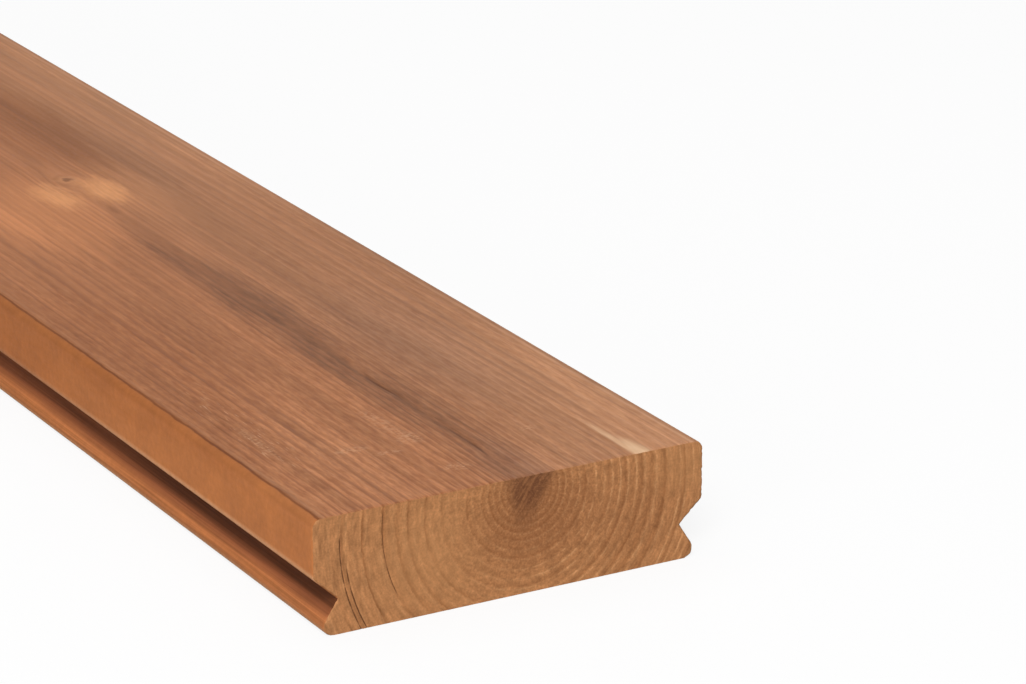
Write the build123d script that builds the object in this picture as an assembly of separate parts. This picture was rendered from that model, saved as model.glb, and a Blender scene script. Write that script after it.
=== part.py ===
from build123d import *
import math
import os

# Planed softwood decking board with a clip groove along both long edges, one piece of timber.
# Frame: +Z up, +Y along the board, origin in the middle of the underside. Sizes are in millimetres.

# The plank
board_length = 1800.0
board_width = 92.0
board_thickness = 26.0
arris_radius = 2.0  # rounding of the two walked-on edges

# The clip groove, alike on both edges
groove_mouth_height = 13.0  # underside to the foot of the upright edge
groove_apex_height = 8.0  # underside to the deepest line of the groove
groove_depth = 5.5  # upright edge to the deepest line, before its rounding
mouth_radius = 1.5  # easing where the upright edge turns into the groove
apex_radius = 0.5  # the cutter's tip
nose_setback = 2.2  # upright edge to the tip of the lip below the groove
nose_radius = 2.2  # the lip's rounding, tangent to the underside


def lip_corner_inset():
    """Distance in from the upright edge to the corner that the lip had before it was rounded.

    The lip's upper face runs from the apex of the groove and touches the nose circle. Carried on
    to the level of the underside, it meets it at this corner.
    """
    along = groove_depth - (nose_setback + nose_radius)
    down = groove_apex_height - nose_radius
    reach = math.hypot(along, down)
    slope = math.atan2(down, along) - math.asin(nose_radius / reach)
    return groove_depth - groove_apex_height / math.tan(slope)


def edge_corners(side):
    """Corners of one edge from the top face down to the underside: side is 1 for +X and -1 for -X."""
    edge = board_width / 2
    return {
        "arris": (side * edge, board_thickness),
        "mouth": (side * edge, groove_mouth_height),
        "apex": (side * (edge - groove_depth), groove_apex_height),
        "nose": (side * (edge - lip_corner_inset()), 0.0),
    }


def board_section():
    """Cross-section of the board in X and Z, with each corner of both edges rounded."""
    radii = {
        "arris": arris_radius,
        "mouth": mouth_radius,
        "apex": apex_radius,
        "nose": nose_radius,
    }
    right, left = edge_corners(1), edge_corners(-1)
    outline = [*right.values(), *reversed(left.values())]
    with BuildSketch(Plane.XZ) as section:
        with BuildLine():
            Polyline(*outline, close=True)
        make_face()
        for name, radius in radii.items():
            corners = [section.vertices().sort_by_distance(edge[name])[0] for edge in (right, left)]
            fillet(corners, radius)
    return section.sketch


def decking_board():
    """The section carried along the board, half of the length to each side of the origin."""
    board = extrude(board_section(), amount=board_length / 2, both=True)
    board.label = "decking_board"
    return board


board = decking_board()
print("volume mm3", round(board.volume), "size", board.bounding_box().size)
os.makedirs("parts", exist_ok=True)
export_step(board, "parts/decking_board.step")
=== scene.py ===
"""Looks of a heat-treated pine decking board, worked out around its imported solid.

The board is one closed mesh. Its long faces are the moulded section carried along the length, and each sawn
end is a grid that shares its rim with them. The growth rings are a field in space, so the lines on the top
face, the bands on the edges and the arcs on the ends are the same rings, in the relief and in the colours.
Lengths are in metres.
"""

import logging
import math
from dataclasses import dataclass
from enum import Enum, IntEnum

import bpy
import numpy as np
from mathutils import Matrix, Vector
from numpy.typing import NDArray


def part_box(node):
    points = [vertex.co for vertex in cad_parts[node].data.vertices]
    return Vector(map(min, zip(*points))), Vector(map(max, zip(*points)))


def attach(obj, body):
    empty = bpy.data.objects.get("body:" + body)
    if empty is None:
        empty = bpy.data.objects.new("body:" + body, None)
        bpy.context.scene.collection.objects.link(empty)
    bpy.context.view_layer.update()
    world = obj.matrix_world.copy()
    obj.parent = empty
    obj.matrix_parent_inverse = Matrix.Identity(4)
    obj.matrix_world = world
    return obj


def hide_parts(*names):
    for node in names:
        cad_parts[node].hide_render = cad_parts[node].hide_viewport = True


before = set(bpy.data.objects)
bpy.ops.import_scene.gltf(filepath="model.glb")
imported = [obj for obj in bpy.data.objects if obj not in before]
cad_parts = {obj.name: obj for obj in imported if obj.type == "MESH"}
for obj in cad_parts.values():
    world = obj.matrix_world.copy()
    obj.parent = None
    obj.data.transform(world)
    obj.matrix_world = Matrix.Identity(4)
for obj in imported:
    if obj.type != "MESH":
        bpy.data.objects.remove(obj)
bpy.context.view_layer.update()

Array = NDArray[np.float64]
Colour = tuple[float, float, float]
Pair = tuple[float, float]
Socket = bpy.types.NodeSocket
Outputs = bpy.types.NodeOutputs

MM = 0.001
NODE = "decking_board"
BODY = "root"

log = logging.getLogger("decking_board")


def smooth_step(value: Array, low: float, high: float) -> Array:
    """Eased ramp: 0 up to low, 1 from high on, and 3t^2 - 2t^3 of the share t between them.

    Args:
        value: Numbers to ease.
        low: Where the ramp starts.
        high: Where the ramp ends; it may be less than low.

    Returns:
        An array of the same shape, from 0 to 1.
    """
    share = np.clip((value - low) / (high - low), 0.0, 1.0)
    return share * share * (3.0 - 2.0 * share)


def band(value: Array, low: float, full: float, fading: float, high: float) -> Array:
    """Eased band of a value: 0 up to low, 1 from full to fading, and 0 again from high on."""
    return smooth_step(value, low, full) * smooth_step(value, high, fading)


def lattice_noise(across: Array, along: Array, seed: int) -> Array:
    """Smooth noise: random heights on a whole-number lattice, eased between the four corners of each cell.

    Args:
        across: First coordinate, in cells.
        along: Second coordinate, in cells.
        seed: Which lattice of heights is used.

    Returns:
        An array of the broadcast shape, from -1 to 1.
    """
    side = 64
    heights = np.random.default_rng(seed).uniform(-1.0, 1.0, (side, side))
    across, along = np.broadcast_arrays(across, along)
    column, row = np.floor(across).astype(int), np.floor(along).astype(int)
    right, up = smooth_step(across - column, 0.0, 1.0), smooth_step(along - row, 0.0, 1.0)

    def corner(step_across: int, step_along: int) -> Array:
        """Heights at one corner of each cell."""
        return heights[(column + step_across) % side, (row + step_along) % side]

    low = corner(0, 0) * (1.0 - right) + corner(1, 0) * right
    high = corner(0, 1) * (1.0 - right) + corner(1, 1) * right
    return low * (1.0 - up) + high * up


class Seed(IntEnum):
    """Seeds of the random numbers, one for each use."""

    RING_DRIFT = 3
    RING_WAVER = 5
    RING_WIDTH = 11
    SHAKE_EDGE = 17
    CHECK_EDGE = 23
    CHECK_WANDER = 29
    FRONT_END = 51
    BACK_END = 52
    TORN_RIM = 71


class Side(Enum):
    """Patches of the board's surface, in the order in which the section runs round them."""

    TOP = "top"
    RIGHT = "right"
    BOTTOM = "bottom"
    LEFT = "left"
    FRONT = "front"
    BACK = "back"


@dataclass(frozen=True)
class EdgeMoulding:
    """Section of one long edge, alike on both sides: a rounded arris, a clip groove and a lip below it."""

    width: float
    thickness: float
    arris_radius: float = 2.0 * MM
    mouth_height: float = 13.0 * MM
    apex_height: float = 8.0 * MM
    groove_depth: float = 5.5 * MM
    mouth_radius: float = 1.5 * MM
    apex_radius: float = 0.5 * MM
    nose_setback: float = 2.2 * MM
    nose_radius: float = 2.2 * MM
    point_gap: float = 0.58 * MM
    arc_step: float = math.radians(18.0)

    def lip_corner_inset(self) -> float:
        """Distance in from the upright edge to the lip's corner, where its upper face, tangent to the nose
        circle, would meet the level of the underside."""
        along = self.groove_depth - (self.nose_setback + self.nose_radius)
        down = self.apex_height - self.nose_radius
        slope = math.atan2(down, along) - math.asin(self.nose_radius / math.hypot(along, down))
        return self.groove_depth - self.apex_height / math.tan(slope)

    def outline(self) -> Array:
        """Points of the +X edge, from the rim of the top face down to the rim of the underside.

        Each corner is cut back by its radius over the tangent of half its angle, and an arc joins the cuts.

        Returns:
            Points (x, z), one row each.
        """
        edge = self.width / 2.0
        corners = np.array([
            (0.0, self.thickness),
            (edge, self.thickness),
            (edge, self.mouth_height),
            (edge - self.groove_depth, self.apex_height),
            (edge - self.lip_corner_inset(), 0.0),
            (0.0, 0.0),
        ])
        radii = (self.arris_radius, self.mouth_radius, self.apex_radius, self.nose_radius)
        runs = [self.arc(corners[i], corners[i + 1], corners[i + 2], r) for i, r in enumerate(radii)]
        points = [runs[0]]
        for before, after in zip(runs, runs[1:]):
            length = np.linalg.norm(after[0] - before[-1])
            steps = max(2, round(length / self.point_gap))
            points.append(np.linspace(before[-1], after[0], steps + 1)[1:-1])
            points.append(after)
        return np.concatenate(points)

    def arc(self, before: Array, corner: Array, after: Array, radius: float) -> Array:
        """Arc that rounds a corner, from the side of the corner before it to the side of the one after.

        Args:
            before: The corner before.
            corner: The corner that is rounded.
            after: The corner after.
            radius: Radius of the rounding.

        Returns:
            Points (x, z) along the arc, with both tangent points.
        """
        back = (before - corner) / np.linalg.norm(before - corner)
        on = (after - corner) / np.linalg.norm(after - corner)
        half = math.acos(float(back @ on)) / 2.0
        middle = corner + (back + on) / np.linalg.norm(back + on) * radius / math.sin(half)
        first = corner + back * radius / math.tan(half) - middle
        last = corner + on * radius / math.tan(half) - middle
        start = math.atan2(first[1], first[0])
        turn = math.remainder(math.atan2(last[1], last[0]) - start, math.tau)
        steps = max(2, math.ceil(abs(turn) / self.arc_step))
        angle = start + np.linspace(0.0, turn, steps + 1)
        return middle + radius * np.stack([np.cos(angle), np.sin(angle)], axis=1)


@dataclass(frozen=True)
class Knot:
    """A branch that grew out of the pith: its foot along the board, its direction and its thickness.

    The rise is how far it climbs along the tree for each step outwards. Points behind its foot count as
    further off by a factor, and the grain is drawn towards it over a reach that is counted in its radii.
    """

    along: float
    turn: float
    radius: float
    rise: float = 0.35
    behind_factor: float = 4.0
    reach_across: float = 4.0
    reach_along: float = 10.0
    pull_share: float = 0.5

    def split(self, points: Array) -> tuple[Array, Array]:
        """Splits the way from the branch's foot to each point into a part along its axis and a part off it.

        Args:
            points: Places across from the pith, along the board from the front end, and above the pith.

        Returns:
            Distances along the axis, and steps off it, three coordinates each.
        """
        angle = math.radians(self.turn)
        axis = np.array([math.cos(angle), self.rise, math.sin(angle)]) / math.hypot(1.0, self.rise)
        from_foot = points - np.array([0.0, self.along, 0.0])
        reach = from_foot @ axis
        return reach, from_foot - reach[..., None] * axis

    def span(self, points: Array) -> Array:
        """Distance from the branch's axis in branch radii; points behind its foot count as further off."""
        reach, off = self.split(points)
        return (np.linalg.norm(off, axis=-1) + self.behind_factor * np.maximum(0.0, -reach)) / self.radius

    def pull(self, points: Array) -> Array:
        """Step towards the branch's axis, across the tree only: a share of the distance, times e^-d^2.

        Here d^2 adds the squares of the distances across and along the tree, each counted in its reach.

        Args:
            points: Places across from the pith, along the board from the front end, and above the pith.

        Returns:
            Steps, three coordinates each.
        """
        reach, off = self.split(points)
        across = off * np.array([1.0, 0.0, 1.0])
        share = (np.linalg.norm(across, axis=-1) / self.reach_across) ** 2
        share = share + (off[..., 1] / self.reach_along) ** 2
        weight = np.exp(-share / self.radius**2) * smooth_step(reach, -3.0 * self.radius, 1.5 * self.radius)
        return -self.pull_share * across * weight[..., None]


@dataclass(frozen=True)
class Timber:
    """The tree that the board was sawn from: its pith, its rings and its branches, in the board's frame."""

    pith_across: float = 3.4 * MM
    pith_height: float = 23.5 * MM
    ring_sink: float = 0.085
    width_spread: float = 0.05
    width_cell: float = 2.1 * MM
    dark_ring: float = 33.8 * MM
    dark_ring_number: int = 407
    line_part: float = 0.92
    largest_radius: float = 90.0 * MM
    radius_steps: int = 1200
    straight_length: float = 0.02
    settled_length: float = 0.25
    drift: float = 0.016
    sways: tuple[tuple[float, float], ...] = ((0.022, 1.15), (0.010, 0.43))
    waver: float = 1.1 * MM
    knots: tuple[Knot, ...] = (
        Knot(along=0.232, turn=88.0, radius=1.2 * MM),
        Knot(along=0.455, turn=-78.0, radius=4.5 * MM),
        Knot(along=0.640, turn=108.0, radius=3.0 * MM),
        Knot(along=0.815, turn=-7.5, radius=3.6 * MM, rise=0.2),
        Knot(along=1.075, turn=72.0, radius=2.6 * MM),
        Knot(along=1.240, turn=-104.0, radius=5.0 * MM),
        Knot(along=1.300, turn=187.0, radius=3.2 * MM, rise=0.2),
        Knot(along=1.480, turn=96.0, radius=3.4 * MM),
    )

    def ring_radius(self, points: Array) -> Array:
        """Radius of the ring through a point, where a ring's centre sinks in step with its radius.

        The ring of radius R is a circle round a point that lies ring_sink times R below the pith, so R is
        the positive root of (1 - s^2) R^2 - 2 s h R - (a^2 + h^2) = 0, with a and h measured from the pith.

        Args:
            points: Places across the board, along it from the front end, and above its underside.

        Returns:
            Ring radii.
        """
        across, height = points[..., 0] - self.pith_across, points[..., 2] - self.pith_height
        lead = 1.0 - self.ring_sink**2
        half = self.ring_sink * height
        return (half + np.sqrt(half**2 + lead * (across**2 + height**2))) / lead

    def ring_path(self, radius: float, height: Array) -> Array:
        """Where the ring of a given radius crosses each height, on the -X side of the pith.

        Args:
            radius: The ring's radius.
            height: Heights above the underside.

        Returns:
            Places across the board.
        """
        above = height - (self.pith_height - self.ring_sink * radius)
        return self.pith_across - np.sqrt(radius**2 - above**2)

    def turn(self, points: Array) -> Array:
        """Angle round the pith, 0 straight down, so that the seam lies straight up."""
        return np.arctan2(points[..., 0] - self.pith_across, self.pith_height - points[..., 2])

    def ring_count(self, points: Array) -> Array:
        """Number of the ring at each point, with a fraction: the sum of 1 / ring width along the radius.

        The numbers are shifted so that the dark ring has the number dark_ring_number. The points are first
        drawn towards the branches, and the radius wavers slowly along the board and round the tree, except
        near the front end. The sways are sine waves along the board, each a size and a run.

        Args:
            points: Places across the board, along it from the front end, and above its underside.

        Returns:
            Ring counts.
        """
        points = self.flow(points)
        across, along = points[..., 0], points[..., 1]
        radius = self.ring_radius(points)
        settled = smooth_step(along, self.straight_length, self.settled_length)
        slow = self.drift * lattice_noise(self.turn(points) * 1.4 + 9.0, along / 0.22, Seed.RING_DRIFT)
        slow += sum(size * np.sin(along * math.tau / run) for size, run in self.sways)
        slow *= settled
        waver = self.waver * lattice_noise(across / 0.021, along / 0.34, Seed.RING_WAVER)
        waver *= smooth_step(radius, 0.0, 12.0 * MM)
        waver *= settled
        steps = np.linspace(0.0, self.largest_radius, self.radius_steps)
        counts = np.concatenate([[0.0], np.cumsum(np.diff(steps) / self.ring_widths(steps)[1:])])
        counts += self.dark_ring_number + self.line_part - np.interp(self.dark_ring, steps, counts)
        return np.interp(radius * (1.0 + slow) + waver, steps, counts)

    def ring_widths(self, radius: Array) -> Array:
        """Width of the rings: narrow round the pith, wide from 28 to 36 mm, narrow to 43 mm, then wider.

        Args:
            radius: Radii.

        Returns:
            Widths, uneven by a share of width_spread.
        """
        grown = smooth_step(radius, 3.0 * MM, 16.0 * MM)
        wide = band(radius, 26.5 * MM, 31.0 * MM, 35.8 * MM, 37.4 * MM)
        lean = band(radius, 36.0 * MM, 37.4 * MM, 43.0 * MM, 44.2 * MM)
        late = smooth_step(radius, 43.0 * MM, 44.5 * MM)
        uneven = 1.0 + self.width_spread * lattice_noise(radius / self.width_cell, 0.5, Seed.RING_WIDTH)
        return (1.3 + 0.65 * grown + 1.2 * wide - 0.38 * lean + 0.5 * late) * uneven * MM

    def flow(self, points: Array) -> Array:
        """The same points, drawn towards the branches near them, so that the grain parts round each one."""
        return points + sum(knot.pull(self.from_pith(points)) for knot in self.knots)

    def knot_span(self, points: Array) -> Array:
        """Distance from the nearest branch's axis, in radii of that branch."""
        return np.min([knot.span(self.from_pith(points)) for knot in self.knots], axis=0)

    def from_pith(self, points: Array) -> Array:
        """The same points, measured across and up from the pith."""
        return points - np.array([self.pith_across, 0.0, self.pith_height])

    @staticmethod
    def latewood(count: Array) -> Array:
        """Share of dark, dense latewood: it grows over each ring and stops short at the ring's end."""
        part = count - np.floor(count)
        return band(part, 0.3, 0.88, 0.93, 1.0)


@dataclass(frozen=True)
class Shake:
    """A crack along a ring, open at the sawn ends: its ring's radius, the heights it spans and its depths.

    It narrows to nothing over a run at its top and its foot.
    """

    radius: float
    low: float
    high: float
    front_depth: float
    back_depth: float
    half_width: float
    foot_run: float = 2.0 * MM
    top_run: float = 3.0 * MM
    ragged_cell: float = 1.3 * MM

    def opening(self, height: Array) -> Array:
        """How far open the crack is at each height: ragged, and eased to nothing at both ends.

        Args:
            height: Heights above the underside.

        Returns:
            Openings, from 0 to 1.
        """
        ragged = lattice_noise(height / self.ragged_cell, self.radius / MM, Seed.SHAKE_EDGE)
        ragged = np.clip(0.8 + 0.5 * ragged, 0.4, 1.0)
        shut, fading = self.low - self.foot_run, self.high - self.top_run
        return ragged * band(height, shut, self.low, fading, self.high)


class BakeMap:
    """Map that the finishes can be baked through: left, low, width and height of each patch."""

    NAME = "OFBake"
    PATCHES = {
        Side.TOP: (0.006, 0.006, 0.392, 0.988),
        Side.LEFT: (0.406, 0.006, 0.142, 0.988),
        Side.RIGHT: (0.556, 0.006, 0.112, 0.988),
        Side.BOTTOM: (0.676, 0.006, 0.122, 0.988),
        Side.FRONT: (0.808, 0.006, 0.184, 0.640),
        Side.BACK: (0.808, 0.658, 0.184, 0.336),
    }


class BoardGrid:
    """Grid of the board's surface before any relief.

    The section's rim is placed at each station along the board. It runs over the top, down the right edge,
    back along the underside and up the left edge. Each end is a grid of rows, one for each height of the
    moulded edge, and columns; its border is the rim of the first or the last station.
    """

    def __init__(self, columns: Array, heights: Array, along: Array, middles: list[int]) -> None:
        """Lays out the rim and numbers the points of both ends.

        Args:
            columns: Places across the board of an end's points, one row for each height.
            heights: Height of each row, from the top down.
            along: Distance of each station from the front end.
            middles: Middle column of each crack and then of the check.
        """
        self.columns, self.heights, self.along, self.middles = columns, heights, along, middles
        self.rows, self.cols = columns.shape[0] - 1, columns.shape[1] - 1
        self.rim = 2 * (self.rows + self.cols)
        self.rim_x = np.concatenate([columns[0], columns[1:-1, -1], columns[-1, ::-1], columns[-2:0:-1, 0]])
        self.rim_z = np.concatenate([
            np.full(self.cols + 1, heights[0]), heights[1:-1],
            np.full(self.cols + 1, heights[-1]), heights[-2:0:-1],
        ])
        row, col = np.indices(columns.shape)
        self.inner = (row > 0) & (row < self.rows) & (col > 0) & (col < self.cols)
        self.rim_ids = np.select(
            [row == 0, col == self.cols, row == self.rows],
            [col, self.cols + row, 2 * self.cols + self.rows - col],
            (self.rim - row) % self.rim,
        )

    def end_points(self, along: float) -> Array:
        """Points of an end's grid: across the board, along it from the front, and above its underside."""
        return np.stack(np.broadcast_arrays(self.columns, along, self.heights[:, None]), axis=-1)

    def long_points(self) -> Array:
        """Points of the long faces, one row for each station."""
        return np.stack(np.broadcast_arrays(self.rim_x, self.along[:, None], self.rim_z), axis=-1)

    def rim_of(self, end: Array) -> Array:
        """Values round the rim, from the border of an end's grid."""
        rim = np.zeros(self.rim)
        rim[self.rim_ids[~self.inner]] = end[~self.inner]
        return rim

    def gather(self, long: Array, front: Array, back: Array) -> Array:
        """One list in vertex order: all of the long faces, then the inside of both ends."""
        return np.concatenate([long.reshape(-1, *long.shape[2:]), front[self.inner], back[self.inner]])

    def rim_normals(self) -> tuple[Array, Array]:
        """Outward direction of the section at each point of the rim.

        Returns:
            Its parts across the board and upwards.
        """
        across = np.roll(self.rim_x, -1) - np.roll(self.rim_x, 1)
        up = np.roll(self.rim_z, -1) - np.roll(self.rim_z, 1)
        length = np.hypot(across, up)
        return -up / length, across / length

    def rim_lengths(self) -> Array:
        """Distance round the rim from its first point to each point, and at last all the way round."""
        steps = np.hypot(np.roll(self.rim_x, -1) - self.rim_x, np.roll(self.rim_z, -1) - self.rim_z)
        return np.concatenate([[0.0], np.cumsum(steps)])

    def quads(self) -> NDArray[np.int32]:
        """Quads of the long faces, the front end and the back end, each seen from outside.

        Returns:
            Vertex numbers of the corners, four for each quad.
        """
        count, inside = self.along.size, int(self.inner.sum())
        first = np.arange(count - 1)[:, None] * self.rim
        place, after = np.arange(self.rim), (np.arange(self.rim) + 1) % self.rim
        corners = [first + place, first + after, first + after + self.rim, first + place + self.rim]
        quads = [np.stack(corners, axis=-1).reshape(-1, 4)]
        for number, order in ((0, 1), (1, -1)):
            ids = self.rim_ids + (count - 1) * self.rim * number
            ids[self.inner] = count * self.rim + number * inside + np.arange(inside)
            quads.append(self.cells(ids, order))
        return np.concatenate(quads).astype(np.int32)

    @staticmethod
    def cells(grid: NDArray, order: int) -> NDArray:
        """The four corner values of each cell of an end's grid, listed one way round or the other.

        Args:
            grid: A value for each point of the end.
            order: 1 for the front end and -1 for the back end.

        Returns:
            Values, four for each cell.
        """
        corners = [grid[:-1, :-1], grid[1:, :-1], grid[1:, 1:], grid[:-1, 1:]]
        return np.stack(corners[::order], axis=2).reshape(-1, 4, *grid.shape[2:])

    def bake_uv(self) -> Array:
        """Lays the quads out on the bake map: strips for the long faces and upright patches for the ends.

        Returns:
            Places of each quad's corners, in the order of the quads.
        """
        lengths = self.rim_lengths()
        starts = np.array([0, self.cols, self.cols + self.rows, 2 * self.cols + self.rows, self.rim])
        side = np.searchsorted(starts, np.arange(self.rim), side="right") - 1
        begin, size = lengths[starts[:-1]][side], np.diff(lengths[starts])[side]
        round_rim = (Side.TOP, Side.RIGHT, Side.BOTTOM, Side.LEFT)
        patches = np.array([BakeMap.PATCHES[s] for s in round_rim])[side]
        left = patches[:, 0] + (lengths[:-1] - begin) / size * patches[:, 2]
        right = patches[:, 0] + (lengths[1:] - begin) / size * patches[:, 2]
        share = self.along[:, None] / self.along[-1]
        low, high = patches[:, 1] + share[:-1] * patches[:, 3], patches[:, 1] + share[1:] * patches[:, 3]
        corners = [(left, low), (right, low), (right, high), (left, high)]
        strips = np.stack([np.stack(np.broadcast_arrays(u, v), axis=-1) for u, v in corners], axis=2)
        maps = [strips.reshape(-1, 4, 2)]
        for end, order in ((Side.FRONT, 1), (Side.BACK, -1)):
            patch = BakeMap.PATCHES[end]
            across = self.columns / np.ptp(self.columns) - self.columns.min() / np.ptp(self.columns)
            down = np.broadcast_to(1.0 - self.heights[:, None] / self.heights[0], across.shape)
            place = np.stack([patch[0] + down * patch[2], patch[1] + across * patch[3]], axis=-1)
            maps.append(self.cells(place, order))
        return np.concatenate(maps)


@dataclass(frozen=True)
class DeckingBoard:
    """The board: the moulded section carried along its length, the relief of its grain and two sawn ends.

    The check's gapes are places along it where it opens widest, each with a reach. The groove's shade bands
    say how much painted shade darkens its lower face, each a share and the heights between which it sets
    in.
    """

    moulding: EdgeMoulding
    length: float
    timber: Timber = Timber()
    shakes: tuple[Shake, ...] = (
        Shake(
            43.3 * MM, low=0.0, high=22.5 * MM,
            front_depth=0.16 * MM, back_depth=0.0, half_width=0.24 * MM,
        ),
        Shake(
            42.2 * MM, low=0.0, high=16.0 * MM,
            front_depth=0.16 * MM, back_depth=0.2 * MM, half_width=0.24 * MM,
        ),
        Shake(
            33.6 * MM, low=7.0 * MM, high=26.5 * MM,
            front_depth=0.1 * MM, back_depth=0.0, half_width=0.17 * MM,
        ),
    )
    check_across: float = 2.6 * MM
    check_half_width: float = 0.62 * MM
    check_depth: float = 0.32 * MM
    check_wander: float = 0.55 * MM
    check_gapes: tuple[tuple[float, float], ...] = ((0.019, 0.005), (0.030, 0.004), (0.061, 0.008))
    column_gap: float = 0.6 * MM
    station_gap: float = 26.0 * MM
    check_gap: float = 3.6 * MM
    top_relief: float = 0.045 * MM
    edge_relief: float = 0.015 * MM
    quirk_relief: float = 0.07 * MM
    saw_relief: float = 0.035 * MM
    rim_ease: float = 0.12 * MM
    rim_reach: float = 9.0 * MM
    slide: float = 2.5 * MM
    slide_run: float = 1.05
    stain_depth: float = 14.0 * MM
    # Painted shade: each band darkens the groove's lower face further towards its apex, standing in for the
    # shade under the overhang.
    groove_shade_bands: tuple[tuple[float, float, float], ...] = (
        (0.14, 0.6 * MM, 1.8 * MM),
        (0.28, 3.2 * MM, 5.4 * MM),
        (0.36, 5.0 * MM, 6.6 * MM),
    )
    sharp_angle: float = math.radians(42.0)
    name: str = "timber_board"

    def columns(self, heights: Array, half_widths: Array) -> tuple[Array, list[int]]:
        """Places across the board of the grid's columns, at each height of the section.

        Three columns follow each crack, at its middle and its two lips. Between two cracks, and out to both
        edges, the columns are evenly spaced.

        Args:
            heights: Height of each row.
            half_widths: Half of the section's width at each row.

        Returns:
            Places, one row for each height, and the middle column of each crack and then of the check.
        """
        paths = [(self.timber.ring_path(s.radius, heights), s.half_width) for s in self.shakes]
        paths.append((np.full_like(heights, self.check_across), self.check_half_width))
        guides = [-half_widths]
        for path, half in paths:
            guides += [path - half, path, path + half]
        guides.append(half_widths)
        spans, middles, count = [], [], 0
        for number, (first, last) in enumerate(zip(guides, guides[1:])):
            steps = max(2, round(float(last[0] - first[0]) / self.column_gap)) if number % 3 == 0 else 1
            spans.append(np.linspace(first, last, steps, endpoint=False, axis=1))
            count += steps
            if number % 3 == 1:
                middles.append(count)
        spans.append(half_widths[:, None])
        return np.concatenate(spans, axis=1), middles

    def stations(self) -> Array:
        """Distances from the front end at which the section is placed: close at the ends, knots and check.

        The number of stations up to a place is the running sum of 1 / gap, and it is turned round to give
        the place of each whole number.

        Returns:
            Distances, from 0 to the length.
        """
        ends = np.array([0.0, 0.3, 0.9, 2.0, 4.0, 7.0, 11.0]) * MM
        fine = np.linspace(ends[-1], self.length - ends[-1], 6000)
        near_end = np.minimum(fine, self.length - fine)
        density = 1.0 / self.station_gap + np.exp(-near_end / 0.05) / (7.0 * MM)
        for knot in self.timber.knots:
            density += np.exp(-(((fine - knot.along) / (6.0 * knot.radius)) ** 2)) / (1.25 * knot.radius)
        density += smooth_step(fine, 0.1, 0.08) / self.check_gap
        counts = np.concatenate([[0.0], np.cumsum((density[1:] + density[:-1]) / 2.0 * np.diff(fine))])
        whole = np.linspace(0.0, counts[-1], math.ceil(counts[-1]) + 1)
        middle = np.interp(whole, counts, fine)
        return np.concatenate([ends[:-1], middle, (self.length - ends[:-1])[::-1]])

    def check_opening(self, along: Array) -> Array:
        """How far open the drying check over the pith is: a run near the front end and two further back.

        Args:
            along: Distances from the front end.

        Returns:
            Openings, from 0 to about 1.
        """
        ragged = np.clip(0.85 + 0.5 * lattice_noise(along / 0.008, 0.5, Seed.CHECK_EDGE), 0.55, 1.0)
        wide = sum(np.exp(-(((along - place) / reach) ** 2)) for place, reach in self.check_gapes)
        near = band(along, 0.010, 0.018, 0.066, 0.080) * (0.4 + 0.6 * wide)
        middle = band(along, 0.93, 0.95, 0.99, 1.03)
        far = band(along, 1.58, 1.60, 1.66, 1.70)
        return ragged * (near + 0.7 * middle + 0.8 * far)

    def pith_stain(self, points: Array) -> Array:
        """Share of the dark wedge over the pith, which narrows downwards from the top face.

        Args:
            points: Places across the board, along it from the front end, and above its underside.

        Returns:
            Stain from 0 to 1.
        """
        share = np.clip(1.0 - (self.moulding.thickness - points[..., 2]) / self.stain_depth, 0.0, 1.0)
        centre = self.timber.pith_across - 1.1 * MM + 2.0 * MM * share
        half = (1.8 + 4.2 * share**1.6) * MM
        off = np.abs(points[..., 0] - centre) / half
        return smooth_step(off, 1.35, 0.55) * smooth_step(share, 0.0, 0.75)

    def long_relief(self, grid: BoardGrid) -> Array:
        """Depth of the long faces under the moulded section: softer earlywood, the check, and the quirk.

        Args:
            grid: The board's grid.

        Returns:
            Depths, one row for each station.
        """
        soft = 1.0 - self.timber.latewood(self.timber.ring_count(grid.long_points()))
        relief = np.where(np.arange(grid.rim) <= grid.cols, self.top_relief, self.edge_relief) * soft
        relief[:, grid.middles[-1]] += self.check_depth * self.check_opening(grid.along)
        relief[:, [0, grid.cols]] += self.quirk_relief
        ragged = np.random.default_rng(Seed.TORN_RIM).uniform(0.4, 1.6, (2, grid.rim))
        relief[[0, -1]] += self.rim_ease * ragged
        return relief

    def end_relief(self, grid: BoardGrid, cracks: Array, seed: int) -> Array:
        """Depth of a sawn end behind the plane of its cut: torn fibres, soft earlywood, cracks, eased rim.

        Args:
            grid: The board's grid.
            cracks: Depth of the cracks at each point of the end.
            seed: Which torn fibres this end has.

        Returns:
            Depths, from 0 inwards.
        """
        points = grid.end_points(0.0)
        chance = np.random.default_rng(seed)
        soft = 1.0 - self.timber.latewood(self.timber.ring_count(points))
        wander = 0.5 + 0.5 * lattice_noise(points[..., 0] / (2.6 * MM), points[..., 2] / (9.0 * MM), seed)
        depth = self.saw_relief * (0.5 * chance.uniform(0.0, 1.0, soft.shape) + 0.5 * soft + 0.3 * wander)
        eased = self.rim_ease * chance.uniform(0.4, 1.9, soft.shape)
        return depth + cracks + np.where(grid.inner, 0.0, eased)

    def end_cracks(self, grid: BoardGrid, sizes: list[float]) -> Array:
        """Openings of the cracks at each point of a sawn end, each times a size of its own.

        Args:
            grid: The board's grid.
            sizes: What a fully open point of each crack counts as.

        Returns:
            Sizes, 0 away from the cracks.
        """
        crack = np.zeros(grid.columns.shape)
        for shake, middle, size in zip(self.shakes, grid.middles, sizes):
            crack[:, middle] = size * shake.opening(grid.heights)
        return crack

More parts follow.
